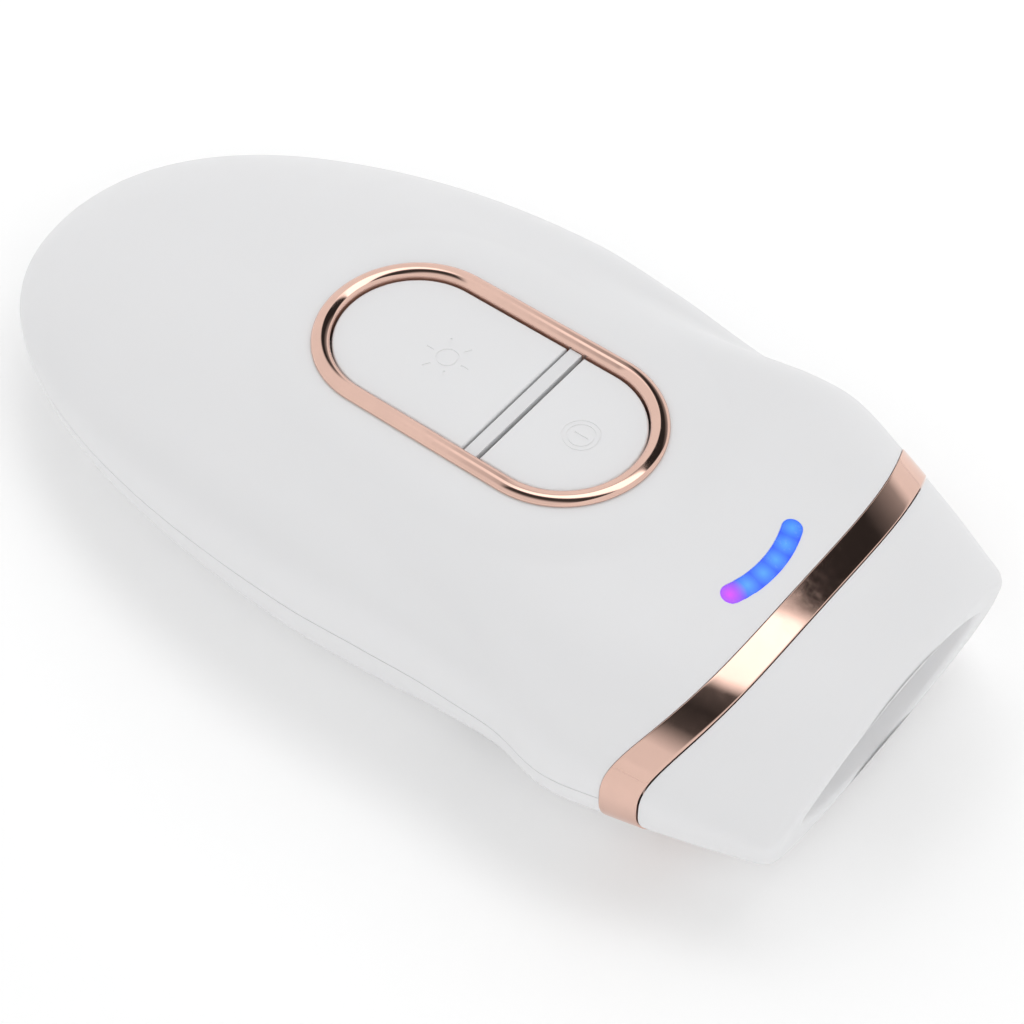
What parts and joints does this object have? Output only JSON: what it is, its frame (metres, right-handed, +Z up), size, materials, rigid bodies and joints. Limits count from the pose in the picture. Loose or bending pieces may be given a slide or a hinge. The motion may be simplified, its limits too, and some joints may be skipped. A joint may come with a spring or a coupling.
{
  "type": "ipl hair remover",
  "caption": "Egg-shaped handheld light-flash hair remover with a waisted grip, stadium button plate, plated neck band, curved status light and a slanted lamp head with a lens-shaped recess.",
  "frame": {"origin": "bottom centre of the device's bounding box as it lies on its underside with the buttons up", "axes": "+X from the rounded tail to the lamp head, along the device; +Y across it, to the left seen from the tail; +Z up through the buttons"},
  "size_m": [0.1616, 0.0786, 0.0363],
  "materials": {
    "shell_white": "satin moulded white",
    "button_white": "satin moulded white",
    "rose_gold": "mirror-polished rose-gold plating",
    "lens_blue": "translucent blue, lit from behind",
    "led_white": "clear resin",
    "board_green": "glass-fibre laminate",
    "screw_steel": "zinc-plated",
    "plug_rubber": "soft matt",
    "capacitor_sleeve": "shrink sleeve",
    "ferrite": "matt ferrite",
    "winding_tape": "polyester tape",
    "copper_coil": "enamelled wire",
    "black_plastic": "moulded",
    "contact_steel": "nickel-plated",
    "lead_red": "insulation",
    "lead_black": "insulation",
    "ribbon_white": "flat ribbon",
    "frame_plastic": "moulded",
    "filter_glass": "coloured optical filter",
    "reflector_sheet": "polished sheet",
    "lamp_glass": "fused quartz",
    "holder_ceramic": "unglazed ceramic",
    "sink_aluminium": "as extruded"
  },
  "bodies": {
    "body": {"top_casing": "shell_white", "bottom_casing": "shell_white", "head_casing": "shell_white", "neck_band": "rose_gold", "indicator_lens": "lens_blue", "indicator_leds": "led_white", "indicator_board": "board_green", "main_board": "board_green", "board_screws": "screw_steel", "flash_capacitor": "capacitor_sleeve", "transformer_core": "ferrite", "transformer_winding": "winding_tape", "trigger_coil": "copper_coil", "board_controller": "black_plastic", "fan_housing": "black_plastic", "fan_motor": "copper_coil", "dc_jack_body": "black_plastic", "dc_jack_pin": "contact_steel", "case_screws": "screw_steel", "screw_plugs": "plug_rubber", "lamp_leads": "lead_red", "jack_leads": "lead_black", "capacitor_leads": "lead_red", "fan_leads": "lead_black", "signal_ribbon": "ribbon_white", "button_ring": "rose_gold", "button_frame": "frame_plastic", "switch_board": "board_green", "flash_switch_body": "black_plastic", "power_switch_body": "black_plastic", "window_frame": "black_plastic", "filter_glass": "filter_glass", "reflector": "reflector_sheet", "lamp_tube": "lamp_glass", "lamp_electrodes": "contact_steel", "lamp_holders": "holder_ceramic", "heat_sink": "sink_aluminium"},
    "flash_button": {"flash_button": "button_white"},
    "power_button": {"power_button": "button_white"},
    "flash_plunger": {"flash_switch_plunger": "frame_plastic"},
    "power_plunger": {"power_switch_plunger": "frame_plastic"},
    "fan": {"fan_rotor": "black_plastic"}
  },
  "joints": [
    {"name": "flash_press", "type": "slide", "parent": "body", "child": "flash_button", "axis": [0.0234, 0, -0.9997], "range_m": [0, 0.0004], "stiffness_N_per_m": 300, "springref_m": -0.001},
    {"name": "power_press", "type": "slide", "parent": "body", "child": "power_button", "axis": [0.0234, 0, -0.9997], "range_m": [0, 0.0004], "stiffness_N_per_m": 300, "springref_m": -0.001},
    {"name": "flash_switch_travel", "type": "slide", "parent": "body", "child": "flash_plunger", "axis": [0.0234, 0, -0.9997], "range_m": [0, 0.0004]},
    {"name": "power_switch_travel", "type": "slide", "parent": "body", "child": "power_plunger", "axis": [0.0234, 0, -0.9997], "range_m": [0, 0.0004]},
    {"name": "fan_spin", "type": "hinge", "parent": "body", "child": "fan", "pos_m": [0.03547, 0, 0.01845], "axis": [1, 0, 0], "continuous": true}
  ],
  "couplings": [
    {"joint": "flash_switch_travel", "follows": "flash_press", "ratio": 1},
    {"joint": "power_switch_travel", "follows": "power_press", "ratio": 1}
  ]
}
